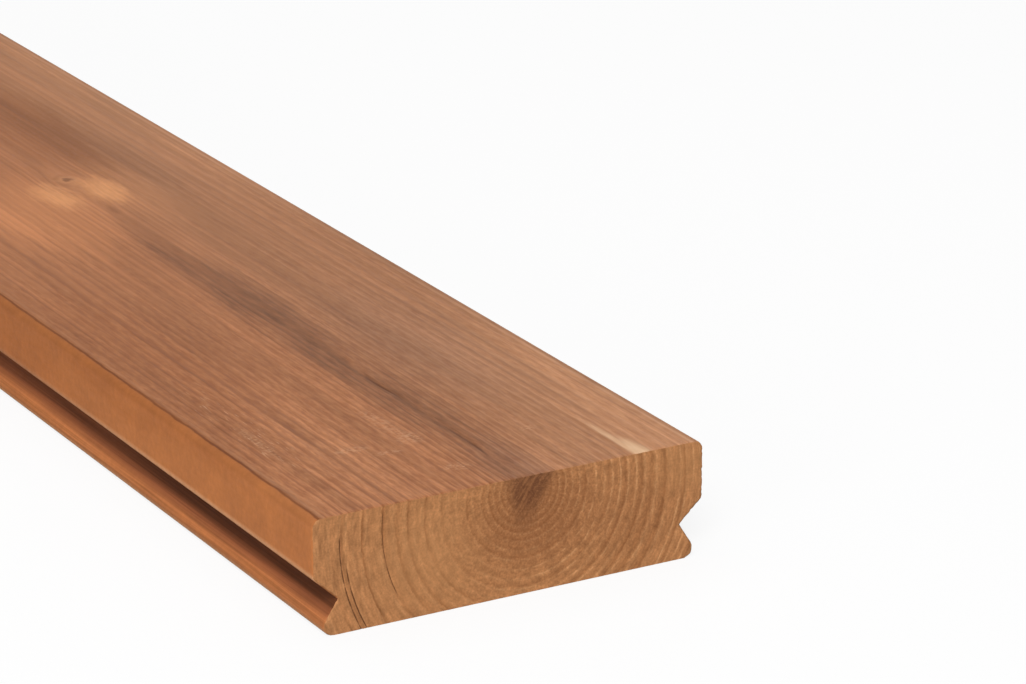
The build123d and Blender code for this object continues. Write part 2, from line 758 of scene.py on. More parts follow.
    def places(self, grid: BoardGrid) -> Array:
        """Vertices: the long faces sunk along the section's normal, and both ends pushed in.

        The depth of an end's border carries on into the first stations and fades out, so that they stay
        in order. Inside the wide faces the points slide sideways along the board, and the check wanders.

        Args:
            grid: The board's grid.

        Returns:
            Places, three coordinates each.
        """
        cracks = [
            self.end_cracks(grid, [s.front_depth for s in self.shakes]),
            self.end_cracks(grid, [s.back_depth for s in self.shakes]),
        ]
        front = self.end_relief(grid, cracks[0], Seed.FRONT_END)
        back = self.end_relief(grid, cracks[1], Seed.BACK_END)
        relief, along = self.long_relief(grid), grid.along[:, None]
        out_x, out_z = grid.rim_normals()
        fade_front = np.clip(1.0 - along / self.rim_reach, 0.0, 1.0)
        fade_back = np.clip(1.0 - (self.length - along) / self.rim_reach, 0.0, 1.0)
        taper = (1.0 - (2.0 * grid.rim_x / self.moulding.width) ** 2) ** 2
        slide = self.slide * np.sin(along / self.length * math.pi)
        slide = slide * np.sin(along * math.tau / self.slide_run + 0.4) * taper
        near_check = np.exp(-(((grid.rim_x - self.check_across) / (2.5 * MM)) ** 2)) * (grid.rim_z > 0.02)
        wander = self.check_wander * lattice_noise(along / 0.011, 0.5, Seed.CHECK_WANDER) * near_check
        long = np.stack([
            grid.rim_x - out_x * relief + slide + wander * np.minimum(along / 0.01, 1.0),
            along + fade_front * grid.rim_of(front) - fade_back * grid.rim_of(back),
            grid.rim_z - out_z * relief,
        ], axis=-1)
        near, far = grid.end_points(0.0), grid.end_points(self.length)
        near[..., 1] += front
        far[..., 1] -= back
        return grid.gather(long, near, far) - np.array([0.0, self.length / 2.0, 0.0])

    def edge_values(self, grid: BoardGrid) -> dict[str, Array]:
        """What the finishes read about the moulded edges, round the rim.

        Args:
            grid: The board's grid.

        Returns:
            Numbers by name, the same at each station or one row for each: distance from the top face's rim
            (positive on the top), share of milled edge, painted shade in the groove, and painted highlights
            on the rounding above the groove and on the lip's foot.
        """
        lengths = grid.rim_lengths()
        ahead = lengths[:-1]
        past = ahead - lengths[grid.cols]
        arris = np.where(past <= 0.0, np.minimum(ahead, -past), -np.minimum(past, lengths[-1] - ahead))
        over = -arris - np.where(grid.rim_x > 0.0, 1.9 * MM, 0.0)
        milled = smooth_step(over, -0.1 * MM, 0.3 * MM) * smooth_step(grid.rim_z, 0.2 * MM, 1.4 * MM)
        # Painted shade on the groove's lower face, darker towards its apex under the overhang.
        lower = sum(share * smooth_step(grid.rim_z, low, high) for share, low, high in self.groove_shade_bands)
        groove = np.where(grid.rim_z <= self.moulding.apex_height, lower, 0.0)
        # Painted highlights: a pale band on the rounding above the groove, and one on the rounding of the
        # lip's foot.
        mouth_highlight = band(grid.rim_z, 11.2 * MM, 12.0 * MM, 13.4 * MM, 13.9 * MM)
        foot = band(grid.rim_z, 0.1 * MM, 0.4 * MM, 1.0 * MM, 2.2 * MM)
        # Further back from the front end the painted groove shade eases and the highlight above the groove
        # fades.
        away = smooth_step(grid.along, 0.06, 0.16)[:, None]
        return {
            "arris": np.clip(arris, -4.0 * MM, 4.0 * MM),
            "milled": milled,
            "groove": groove * (1.0 - 0.22 * away),
            "lip_highlight": np.maximum(mouth_highlight * (1.0 - 0.7 * away), 0.7 * foot),
        }

    def values(self, grid: BoardGrid) -> dict[str, Array]:
        """What the finishes read at each vertex.

        Args:
            grid: The board's grid.

        Returns:
            Numbers and vectors by name: ring count, knots, stain, cracks, the edges' values, place among
            the fibres, and place round the pith.
        """
        points = grid.gather(grid.long_points(), grid.end_points(0.0), grid.end_points(self.length))
        crack = np.zeros((grid.along.size, grid.rim))
        crack[:, grid.middles[-1]] = self.check_opening(grid.along)
        depths = [[s.front_depth for s in self.shakes], [s.back_depth for s in self.shakes]]
        ends = [self.end_cracks(grid, [float(d > 0.0) for d in row]) for row in depths]
        flat = np.zeros(grid.columns.shape)
        edges = {
            name: grid.gather(np.broadcast_to(rim, crack.shape), flat, flat)
            for name, rim in self.edge_values(grid).items()
        }
        radius, turn = self.timber.ring_radius(points), self.timber.turn(points)
        return {
            "growth": self.timber.ring_count(points),
            "knot": np.minimum(self.timber.knot_span(points), 14.0),
            "stain": self.pith_stain(points),
            "crack": grid.gather(crack, *ends),
            **edges,
            "place": self.timber.flow(points),
            "polar": np.stack([radius, turn * 20.0 * MM, points[:, 1]], axis=-1),
        }

    def build(self, planed: bpy.types.Material, sawn: bpy.types.Material) -> bpy.types.Object:
        """The board's mesh, with the planed finish on its long faces and the sawn one on its ends.

        Args:
            planed: Finish of the long faces.
            sawn: Finish of both ends.

        Returns:
            The object, at the origin.
        """
        outline = self.moulding.outline()
        columns, middles = self.columns(outline[:, 1], outline[:, 0])
        grid = BoardGrid(columns, outline[:, 1], self.stations(), middles)
        places, quads = self.places(grid), grid.quads()
        mesh = bpy.data.meshes.new(self.name)
        mesh.vertices.add(len(places))
        mesh.vertices.foreach_set("co", places.astype(np.float32).ravel())
        mesh.loops.add(quads.size)
        mesh.loops.foreach_set("vertex_index", quads.ravel())
        mesh.polygons.add(len(quads))
        mesh.polygons.foreach_set("loop_start", np.arange(0, quads.size, 4, dtype=np.int32))
        mesh.update(calc_edges=True)
        mesh.materials.append(planed)
        mesh.materials.append(sawn)
        on_end = np.arange(len(quads)) >= grid.rim * (grid.along.size - 1)
        mesh.polygons.foreach_set("material_index", on_end.astype(np.int32))
        mesh.polygons.foreach_set("use_smooth", np.ones(len(quads), dtype=bool))
        bake_map = mesh.uv_layers.new(name=BakeMap.NAME)
        bake_map.uv.foreach_set("vector", grid.bake_uv().astype(np.float32).ravel())
        for name, values in self.values(grid).items():
            kind, key = ("FLOAT", "value") if values.ndim == 1 else ("FLOAT_VECTOR", "vector")
            attribute = mesh.attributes.new(name, kind, "POINT")
            attribute.data.foreach_set(key, values.astype(np.float32).ravel())
        mesh.set_sharp_from_angle(angle=self.sharp_angle)
        mesh.validate()
        board = bpy.data.objects.new(self.name, mesh)
        bpy.context.scene.collection.objects.link(board)
        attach(board, BODY)
        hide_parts(NODE)
        return board


class Graph:
    """Nodes of one material or node group, joined as they are made.

    Nearly all of Blender's noise lies inside NOISE_SPAN.
    """

    NOISE_SPAN = (0.28, 0.72)

    def __init__(self, tree: bpy.types.NodeTree) -> None:
        """Keeps the node tree that the nodes go into."""
        self.tree = tree

    def add(self, kind: str, **settings: object) -> bpy.types.Node:
        """Makes a node and sets its options.

        Args:
            kind: Blender's name for the node.
            settings: Options of the node.

        Returns:
            The node.
        """
        node = self.tree.nodes.new(kind)
        for name, value in settings.items():
            setattr(node, name, value)
        return node

    def join(self, socket: Socket, value: Socket | float | Colour) -> None:
        """Links a socket to another, or sets it to a number or a colour.

        Args:
            socket: The input to feed.
            value: What feeds it.
        """
        if isinstance(value, bpy.types.NodeSocket):
            self.tree.links.new(value, socket)
        elif socket.type == "RGBA":
            socket.default_value = (*value, 1.0)
        else:
            socket.default_value = value

    def operate(self, kind: str, operation: str, *values: Socket | float | Colour) -> Socket:
        """Result of one sum on numbers or vectors.

        Args:
            kind: Blender's name for the node.
            operation: Blender's name for the sum.
            values: What goes into the sum.

        Returns:
            The result's socket.
        """
        node = self.add(kind, operation=operation)
        for socket, value in zip(node.inputs, values):
            self.join(socket, value)
        return node.outputs[0]

    def math(self, operation: str, *values: Socket | float) -> Socket:
        """Result of one sum on numbers."""
        return self.operate("ShaderNodeMath", operation, *values)

    def vectors(self, operation: str, *values: Socket | Colour) -> Socket:
        """Result of one sum on vectors."""
        return self.operate("ShaderNodeVectorMath", operation, *values)

    def times(self, first: Socket | float, *others: Socket | float) -> Socket:
        """Product of two or more numbers.

        Args:
            first: First number.
            others: The other numbers.

        Returns:
            The product's socket.
        """
        for other in others:
            first = self.math("MULTIPLY", first, other)
        return first

    def ramp(self, value: Socket, low: float, high: float, start: float = 0.0, end: float = 1.0) -> Socket:
        """Eased ramp of a value, from start at low to end at high."""
        return self.map_range("SMOOTHSTEP", value, low, high, start, end)

    def band(self, value: Socket, low: float, full: float, fading: float, high: float) -> Socket:
        """Eased band of a value: 0 up to low, 1 from full to fading, and 0 again from high on."""
        return self.times(self.ramp(value, low, full), self.ramp(value, high, fading))

    def spread(self, share: Socket, start: float, end: float) -> Socket:
        """Straight run from start, where a share is 0, to end, where it is 1."""
        return self.map_range("LINEAR", share, 0.0, 1.0, start, end)

    def map_range(self, kind: str, value: Socket, *numbers: float) -> Socket:
        """A value carried from one range to another and kept inside it.

        Args:
            kind: How it runs between the ends.
            value: The value.
            numbers: Ends of the range that it comes from, and of the range that it goes to.

        Returns:
            The result's socket.
        """
        node = self.add("ShaderNodeMapRange", interpolation_type=kind, clamp=True)
        self.join(node.inputs["Value"], value)
        for name, number in zip(("From Min", "From Max", "To Min", "To Max"), numbers):
            self.join(node.inputs[name], number)
        return node.outputs[0]

    def mix(self, share: Socket | float, low: Socket | Colour, high: Socket | Colour) -> Socket:
        """Colour between two colours.

        Args:
            share: 0 for the first colour and 1 for the second.
            low: First colour.
            high: Second colour.

        Returns:
            The colour's socket.
        """
        node = self.add("ShaderNodeMix", data_type="RGBA")
        self.join(node.inputs[0], share)
        self.join(node.inputs[6], low)
        self.join(node.inputs[7], high)
        return node.outputs[2]

    def tint(self, share: Socket | float, colour: Socket, factors: Socket | Colour) -> Socket:
        """A colour times three factors, in full where a share is 1 and not at all where it is 0."""
        return self.vectors("MULTIPLY", colour, self.mix(share, (1.0, 1.0, 1.0), factors))

    def vary(self, colour: Socket, share: Socket, amount: float) -> Socket:
        """A colour made darker by an amount where a share is 0, and lighter by as much where it is 1."""
        return self.scale(colour, self.spread(share, 1.0 - amount, 1.0 + amount))

    def scale(self, colour: Socket, factor: Socket | float) -> Socket:
        """A colour made lighter or darker.

        Args:
            colour: The colour.
            factor: 1 leaves it as it is.

        Returns:
            The colour's socket.
        """
        node = self.add("ShaderNodeVectorMath", operation="SCALE")
        self.join(node.inputs[0], colour)
        self.join(node.inputs["Scale"], factor)
        return node.outputs[0]

    def noise_node(self, place: Socket, cells: Colour, detail: float, rough: float) -> bpy.types.Node:
        """Noise with its own cell size on each axis.

        Args:
            place: Where to read it.
            cells: Size of a cell on each axis, in metres.
            detail: How many finer layers it has.
            rough: Strength of each finer layer.

        Returns:
            The node.
        """
        node = self.add("ShaderNodeTexNoise")
        self.join(node.inputs["Vector"], self.vectors("DIVIDE", place, cells))
        for name, number in (("Scale", 1.0), ("Detail", detail), ("Roughness", rough)):
            self.join(node.inputs[name], number)
        return node

    def noise(self, place: Socket, cells: Colour, detail: float = 1.0, rough: float = 0.5) -> Socket:
        """Noise stretched to run from about 0 to 1, with its own cell size in metres on each axis."""
        node = self.noise_node(place, cells, detail, rough)
        return self.map_range("LINEAR", node.outputs[0], *self.NOISE_SPAN, 0.0, 1.0)

    def grain(self, place: Socket, across: float, along: float, detail: float = 1.0,
              rough: float = 0.5) -> Socket:
        """Noise drawn out along the board, with its cells' sizes across and along it in millimetres."""
        return self.noise(place, (across * MM, along * MM, across * MM), detail, rough)

    def jitter(self, place: Socket, across: float, along: float, amount: float) -> Socket:
        """Random vector up to about an amount on each axis, with its cells' sizes in millimetres."""
        colour = self.noise_node(place, (across * MM, along * MM, across * MM), 3.0, 0.6).outputs["Color"]
        return self.scale(self.vectors("SUBTRACT", colour, (0.5, 0.5, 0.5)), 2.0 * amount)

    def axis(self, vector: Socket, name: str) -> Socket:
        """One coordinate of a vector."""
        node = self.add("ShaderNodeSeparateXYZ")
        self.join(node.inputs[0], vector)
        return node.outputs[name]

    def value(self, name: str) -> Socket:
        """A number that the board's mesh holds at each vertex."""
        return self.add("ShaderNodeAttribute", attribute_name=name).outputs["Fac"]

    def vector(self, name: str) -> Socket:
        """A vector that the board's mesh holds at each vertex."""
        return self.add("ShaderNodeAttribute", attribute_name=name).outputs["Vector"]

    def group(self, tree: bpy.types.NodeTree, **inputs: Socket | float | Colour) -> Outputs:
        """Places a node group and feeds it.

        Args:
            tree: The group.
            inputs: What feeds each of its inputs.

        Returns:
            The group's outputs.
        """
        node = self.add("ShaderNodeGroup", node_tree=tree)
        for name, value in inputs.items():
            self.join(node.inputs[name], value)
        return node.outputs


@dataclass(frozen=True)
class Spot:
    """A soft-edged patch of another tone, in millimetres: its middle (across, along, up), its reach on each
    axis, and its strength from 0 to 1. TOP is the height of the top face."""

    middle: Colour
    reach: Colour
    strength: float

    TOP = 26.0

    @classmethod
    def on_top(cls, depth: float, rows: tuple[tuple[float, ...], ...]) -> tuple["Spot", ...]:
        """Patches on the top face that reach equally deep.

        Args:
            depth: How far they reach downwards.
            rows: Place across and along, reach across and along, and strength of each patch.

        Returns:
            The patches.
        """
        return tuple(
            cls((across, along, cls.TOP), (wide, long, depth), strength)
            for across, along, wide, long, strength in rows
        )

    def metres(self, values: Colour) -> Colour:
        """The same three lengths in metres."""
        return tuple(v * MM for v in values)


class WoodEffects:
    """Node groups that both finishes share.

    FIBRES gives each kind of fibre its cells' sizes across and along the board, in millimetres, and its
    number of finer layers.
    """

    FIBRES = {
        "Fine": (0.5, 2.2, 1.0),
        "Short": (1.0, 6.5, 1.0),
        "Streak": (1.4, 40.0, 1.0),
        "Band": (4.2, 90.0, 1.0),
        "Drift": (13.0, 120.0, 3.0),
    }

    def __init__(self) -> None:
        """Builds each group once."""
        self.rings = self.ring_group()
        self.fibres = self.fibre_group()
        self.marks = self.mark_group()
        self.spot = self.spot_group()

    @staticmethod
    def start(name: str, inputs: dict[str, str], outputs: dict[str, str]) -> tuple[Graph, dict, dict]:
        """Empty node group with its sockets.

        Args:
            name: The group's name.
            inputs: Name and kind of each input.
            outputs: Name and kind of each output.

        Returns:
            The group's graph, what comes in and what goes out.
        """
        tree = bpy.data.node_groups.new(name, "ShaderNodeTree")
        for socket, kind in inputs.items():
            tree.interface.new_socket(name=socket, in_out="INPUT", socket_type=f"NodeSocket{kind}")
        for socket, kind in outputs.items():
            tree.interface.new_socket(name=socket, in_out="OUTPUT", socket_type=f"NodeSocket{kind}")
        graph = Graph(tree)
        return graph, graph.add("NodeGroupInput").outputs, graph.add("NodeGroupOutput").inputs

    def ring_group(self) -> bpy.types.NodeTree:
        """Growth rings from the ring count: latewood, a softer form of it, each ring's pale start and tone.

        Returns:
            The group.
        """
        graph, into, out = self.start(
            "growth_rings",
            {"Growth": "Float", "Place": "Vector", "Waver": "Float"},
            dict.fromkeys(("Latewood", "Soft", "Springwood", "Tone"), "Float"),
        )
        waver = graph.math("SUBTRACT", graph.grain(into["Place"], 1.4, 16.0, 2.0), 0.5)
        count = graph.math("ADD", into["Growth"], graph.times(waver, into["Waver"]))
        part = graph.math("FRACT", count)
        tone = graph.add("ShaderNodeTexWhiteNoise", noise_dimensions="1D")
        graph.join(tone.inputs["W"], graph.math("FLOOR", count))
        strength = graph.ramp(tone.outputs["Value"], 0.1, 0.9, 0.3, 1.0)
        graph.join(out["Latewood"], graph.times(graph.band(part, 0.48, 0.86, 0.89, 1.0), strength))
        graph.join(out["Soft"], graph.times(graph.band(part, 0.25, 0.8, 0.8, 1.0), strength, strength))
        graph.join(out["Springwood"], graph.band(part, 0.0, 0.13, 0.1, 0.4))
        graph.join(out["Tone"], tone.outputs["Value"])
        return graph.tree

    def fibre_group(self) -> bpy.types.NodeTree:
        """Fibres drawn out along the tree: fine ones, broad streaks, slow drifts of tone, and short flecks.

        Returns:
            The group.
        """
        names = (*self.FIBRES, "Fleck", "Dash")
        graph, into, out = self.start("timber_fibres", {"Place": "Vector"}, dict.fromkeys(names, "Float"))
        place = into["Place"]
        for name, sizes in self.FIBRES.items():
            graph.join(out[name], graph.grain(place, *sizes))
        short, patch = graph.grain(place, 0.42, 4.5), graph.grain(place, 7.0, 50.0)
        graph.join(out["Fleck"], graph.ramp(short, 0.78, 1.0))
        graph.join(out["Dash"], graph.times(graph.ramp(short, 0.2, 0.0), graph.ramp(patch, 0.8, 0.3)))
        return graph.tree

    def mark_group(self) -> bpy.types.NodeTree:
        """Marks laid over the rings: a stain, the knots' halo and heart, and cracks.

        Returns:
            The group.
        """
        numbers = dict.fromkeys(("Stain", "Knot", "Crack"), "Float")
        colours = dict.fromkeys(("Wood", "Stained", "Halo", "Heart", "Dark"), "Color")
        inputs = {"Place": "Vector", **numbers, **colours}
        graph, into, out = self.start("timber_marks", inputs, {"Colour": "Color"})
        smudge = graph.grain(into["Place"], 1.3, 14.0, 3.0, 0.65)
        stain = graph.times(into["Stain"], graph.spread(smudge, 0.5, 1.0))
        colour = graph.tint(stain, into["Wood"], into["Stained"])
        ragged = graph.math("SUBTRACT", graph.grain(into["Place"], 3.0, 9.0, 3.0, 0.6), 0.5)
        span = graph.math("ADD", into["Knot"], graph.times(ragged, 1.8))
        colour = graph.mix(graph.ramp(span, 3.4, 1.0, 0.0, 0.3), colour, into["Halo"])
        colour = graph.mix(graph.ramp(span, 1.5, 0.4, 0.0, 0.7), colour, into["Heart"])
        # Painted shade: the cracks and the check are coloured dark for the shade inside them.
        colour = graph.mix(graph.ramp(into["Crack"], 0.05, 0.75, 0.0, 0.9), colour, into["Dark"])
        graph.join(out["Colour"], colour)
        return graph.tree

    def spot_group(self) -> bpy.types.NodeTree:
        """Mask of a soft-edged patch: an ellipsoid whose rim is made ragged by a jitter.

        Returns:
            The group.
        """
        inputs = dict.fromkeys(("Place", "Jitter", "Middle", "Reach"), "Vector")
        graph, into, out = self.start("soft_spot", inputs, {"Mask": "Float"})
        off = graph.vectors("SUBTRACT", into["Place"], into["Middle"])
        share = graph.vectors("DIVIDE", off, into["Reach"])
        away = graph.add("ShaderNodeVectorMath", operation="LENGTH")
        graph.join(away.inputs[0], graph.vectors("ADD", share, into["Jitter"]))
        graph.join(out["Mask"], graph.ramp(away.outputs["Value"], 1.0, 0.2))
        return graph.tree

    def spots(self, graph: Graph, place: Socket, jitter: Socket, spots: tuple[Spot, ...]) -> Socket:
        """Strongest of several patches at each place.

        Args:
            graph: Where the nodes go.
            place: Place on the board.
            jitter: What makes the patches ragged.
            spots: The patches.

        Returns:
            The mask's socket.
        """
        strongest = None
        for spot in spots:
            middle, reach = spot.metres(spot.middle), spot.metres(spot.reach)
            patch = graph.group(self.spot, Place=place, Jitter=jitter, Middle=middle, Reach=reach)
            mask = graph.times(patch["Mask"], spot.strength)
            strongest = mask if strongest is None else graph.math("MAXIMUM", strongest, mask)
        return strongest


@dataclass(frozen=True)
class Finish:
    """What both finishes have: how they mirror, their finest relief and the colours of their marks."""

    name: str
    specular: float
    bump_strength: float
    stained: Colour
    halo: Colour
    heart: Colour
    # Colour of the cracks and the check: painted shade inside them.
    dark: Colour
    bump_depth: float = 0.06 * MM

    def begin(self) -> tuple[bpy.types.Material, Graph]:
        """Makes the material.

        Returns:
            The material and its graph.
        """
        material = bpy.data.materials.new(self.name)
        material.use_nodes = True
        return material, Graph(material.node_tree)

    def marked(self, graph: Graph, effects: WoodEffects, colour: Socket, place: Socket,
               stain: Socket) -> Socket:
        """The wood's colour with a stain, the knots and the cracks laid over it."""
        return graph.group(
            effects.marks, Wood=colour, Place=place, Stain=stain,
            Knot=graph.value("knot"), Crack=graph.value("crack"),
            Stained=self.stained, Halo=self.halo, Heart=self.heart, Dark=self.dark,
        )["Colour"]

    def feed(self, graph: Graph, colour: Socket, roughness: Socket, height: Socket) -> None:
        """Feeds the material's shader.

        Args:
            graph: The material's graph.
            colour: Base colour.
            roughness: Roughness.
            height: Finest relief, from 0 to about 1.
        """
        bump = graph.add("ShaderNodeBump")
        graph.join(bump.inputs["Strength"], self.bump_strength)
        graph.join(bump.inputs["Distance"], self.bump_depth)
        graph.join(bump.inputs["Height"], height)
        shader = graph.tree.nodes["Principled BSDF"].inputs
        graph.join(shader["Base Color"], colour)
        graph.join(shader["Roughness"], roughness)
        graph.join(shader["Specular IOR Level"], self.specular)
        graph.join(shader["Normal"], bump.outputs["Normal"])


@dataclass(frozen=True)
class PlanedPine(Finish):
    """Planed long faces: straight grain lines, warmer milled edges, a smoky streak along the pith.

    Where the calm patches lie, the fibres and the crisp ring lines fade and soft ring lines take over. The
    pairs for these are strengths away from such a patch and in one. Other pairs are the two ends of a run.
    """

    name: str = "planed_heat_treated_pine"
    specular: float = 0.045
    bump_strength: float = 0.25
    stained: Colour = (0.46, 0.475, 0.53)
    halo: Colour = (0.72, 0.345, 0.155)
    heart: Colour = (0.17, 0.066, 0.032)
    # Colour of the check: painted shade inside it.
    dark: Colour = (0.12, 0.047, 0.024)
    ring_waver: float = 0.2
    raggedness: float = 0.4
    roughness: Pair = (0.54, 0.68)
    polish: float = 0.08
    raised_rings: float = 0.6
    calm_relief: Pair = (1.0, 0.25)
    calm_flecks: Pair = (0.3, 0.05)
    calm_crisp_rings: Pair = (1.0, 0.08)
    calm_soft_rings: Pair = (0.0, 0.36)
    fine_share: float = 0.4
    weave: Pair = (0.15, 0.85)
    dash_strength: float = 0.2
    broken_rings: Pair = (0.9, 0.42)
    fainter_rings_from: Pair = (2.0 * MM, 16.0 * MM)
    fainter_rings: float = 0.75
    tone_strength: float = 0.05
    fibre_strengths: tuple[tuple[str, float], ...] = (("Band", 0.1), ("Streak", 0.07), ("Drift", 0.06))
    mottle_cells: Colour = (1.1 * MM, 1.5 * MM, 1.9 * MM)
    mottle_strength: float = 0.09
    cloud_cells: Colour = (6.0 * MM, 8.0 * MM, 9.0 * MM)
    cloud_strength: float = 0.07
    orange_strength: float = 0.4
    milled_strength: float = 0.88
    # Painted shade in the groove: how far its colour turns towards the shadow colour.
    shadow_reddening: float = 0.8
    strip_strength: float = 0.28
    # Strength of the painted highlights above the groove and on the lip's foot.
    lip_highlight_strength: Pair = (0.55, 0.9)
    left_rim: Pair = (20.0 * MM, -20.0 * MM)
    # Painted shade on the arris rounding just below the top's rim, and a painted highlight strip on the top
    # along the rim.
    shade_below_rim: float = 1.4 * MM
    shade_reach: Pair = (2.2 * MM, 0.7 * MM)
    shade_strength: float = 0.28
    rim_light: tuple[float, float, float, float] = (0.1 * MM, 0.5 * MM, 0.8 * MM, 1.4 * MM)
    rim_light_strength: float = 0.2
    quirk_sway: Pair = (0.2 * MM, 0.6 * MM)
    quirk_reach: Pair = (0.48 * MM, 0.12 * MM)
    cool_from: Pair = (-8.0 * MM, 24.0 * MM)
    shown_fibres: Pair = (0.65, 1.0)
    scuff_strength: float = 0.45
    fleck_strength: float = 0.6
    pale_fibre: Colour = (0.49, 0.205, 0.089)
    dark_fibre: Colour = (0.3, 0.107, 0.042)
    latewood: Colour = (0.23, 0.08, 0.03)
    springwood: Colour = (0.5, 0.24, 0.125)
    even: Colour = (0.394, 0.156, 0.066)
    milled: Colour = (0.562, 0.199, 0.063)
    cool: Colour = (0.97, 1.07, 1.17)
    pale_and_sheen_tint: Colour = (1.37, 1.49, 1.6)
    amber: Colour = (1.48, 1.5, 1.46)
    dusk: Colour = (0.62, 0.5, 0.37)
    dusty: Colour = (0.86, 0.92, 1.05)
    lit: Colour = (0.82, 0.375, 0.155)
    orange: Colour = (0.53, 0.194, 0.072)
    quirk: Colour = (0.15, 0.045, 0.016)
    # Colour of the painted shadow in the groove.
    shadow: Colour = (0.46, 0.145, 0.062)
    # Colour of the painted highlight strip along the top's rim.
    light: Colour = (0.54, 0.282, 0.152)
    pale: Colour = (0.64, 0.37, 0.21)
    cream: Colour = (0.8, 0.53, 0.32)
    # Colour of the painted highlights above the groove and on the lip's foot.
    mouth_highlight: Colour = (0.95, 0.5, 0.25)
    calm: tuple[Spot, ...] = Spot.on_top(26.0, (
        (0.0, 300.0, 120.0, 290.0, 0.92),
        (42.0, 40.0, 46.0, 280.0, 0.5),
        (0.0, 700.0, 50.0, 120.0, 0.4),
        (0.0, 1150.0, 60.0, 160.0, 0.5),
    ))
    smoky: tuple[Spot, ...] = Spot.on_top(9.0, (
        (4.0, 5.0, 9.5, 45.0, 0.42),
        (2.6, 50.0, 8.5, 50.0, 0.76),
        (0.2, 86.0, 5.5, 42.0, 0.95),
        (5.6, 124.0, 6.0, 44.0, 1.0),
        (0.6, 158.0, 4.5, 36.0, 0.75),
        (3.4, 122.0, 10.0, 78.0, 0.92),
        (3.0, 186.0, 6.0, 34.0, 0.45),
        (5.0, 112.0, 32.0, 80.0, 0.2),
        (6.0, 420.0, 8.0, 90.0, 0.5),
        (2.0, 560.0, 6.0, 60.0, 0.7),
        (4.0, 760.0, 9.0, 120.0, 0.5),
        (1.0, 985.0, 6.0, 80.0, 0.7),
        (7.0, 1180.0, 9.0, 90.0, 0.45),
        (3.0, 1370.0, 6.5, 70.0, 0.65),
        (4.0, 1640.0, 7.5, 110.0, 0.6),
    ))
    shaded: tuple[Spot, ...] = (
        Spot((-36.0, 104.0, 26.0), (26.0, 80.0, 11.0), 0.38),
        Spot((-40.0, 70.0, 26.0), (13.0, 65.0, 8.0), 0.36),
        Spot((-46.0, 160.0, 18.0), (10.0, 70.0, 22.0), 0.35),
        Spot((15.0, 285.0, 26.0), (17.0, 85.0, 12.0), 0.62),
        Spot((-46.0, 235.0, 18.0), (12.0, 90.0, 22.0), 0.45),
        Spot((-40.0, 560.0, 22.0), (20.0, 110.0, 22.0), 0.35),
        Spot((42.0, 900.0, 20.0), (20.0, 120.0, 22.0), 0.35),
        Spot((-38.0, 1420.0, 20.0), (22.0, 130.0, 22.0), 0.35),
    )
    greyed: tuple[Spot, ...] = Spot.on_top(9.0, (
        (4.0, 5.0, 10.0, 28.0, 0.75),
        (22.0, 84.0, 18.0, 62.0, 0.6),
        (26.0, 240.0, 12.0, 60.0, 0.3),
        (-22.0, 860.0, 18.0, 90.0, 0.4),
        (24.0, 1400.0, 16.0, 90.0, 0.4),
    ))
    # Partly paler wood, partly painted sheen: lighter patches, the one on the right of the top near the
    # front end standing in for sheen.
    pale_and_sheen: tuple[Spot, ...] = (
        Spot((48.0, -10.0, 26.0), (38.0, 160.0, 16.0), 0.95),
        Spot((48.0, 290.0, 26.0), (26.0, 140.0, 16.0), 0.5),
        Spot((17.0, -6.0, 26.0), (15.0, 45.0, 9.0), 0.45),
        Spot((-25.0, 30.0, 26.0), (9.0, 55.0, 9.0), 0.22),
        Spot((46.0, 760.0, 26.0), (30.0, 220.0, 16.0), 0.5),
        Spot((-46.0, 1080.0, 26.0), (30.0, 180.0, 16.0), 0.45),
        Spot((46.0, 1500.0, 26.0), (34.0, 200.0, 16.0), 0.5),
    )
    glow: tuple[Spot, ...] = Spot.on_top(9.0, (
        (-3.6, 221.0, 7.0, 16.0, 0.64),
        (8.4, 221.0, 7.0, 17.0, 0.68),
    ))
    tan: tuple[Spot, ...] = Spot.on_top(12.0, (
        (-14.0, 212.0, 26.0, 52.0, 0.7),
        (14.0, 218.0, 14.0, 40.0, 0.4),
    ))
    specks: tuple[Spot, ...] = Spot.on_top(4.0, (
        (3.8, 205.0, 1.8, 5.0, 0.35),
    ))
    streaks: tuple[Spot, ...] = Spot.on_top(3.0, (
        (31.2, 0.0, 2.9, 14.0, 1.0),
        (29.9, 8.0, 1.3, 20.0, 0.62),
    ))
    scuffs: tuple[Spot, ...] = Spot.on_top(3.0, (
        (-6.6, 12.0, 4.0, 2.6, 1.0),
        (17.6, 24.4, 3.0, 1.8, 1.0),
        (-21.5, 31.0, 6.0, 2.4, 1.0),
        (-7.2, 31.5, 4.0, 5.0, 1.0),
        (-15.0, 26.2, 4.5, 1.8, 0.9),
        (-8.0, 42.0, 3.0, 14.0, 0.6),
        (-36.0, 44.0, 2.0, 14.0, 0.8),
        (12.0, 812.0, 6.0, 2.6, 0.9),
        (-24.0, 1254.0, 5.0, 2.4, 0.9),
    ))
    flecked: tuple[Spot, ...] = Spot.on_top(3.0, (
        (-35.0, 54.0, 6.0, 40.0, 1.0),
        (-20.0, 690.0, 8.0, 60.0, 0.8),
        (24.0, 1300.0, 7.0, 70.0, 0.8),
    ))

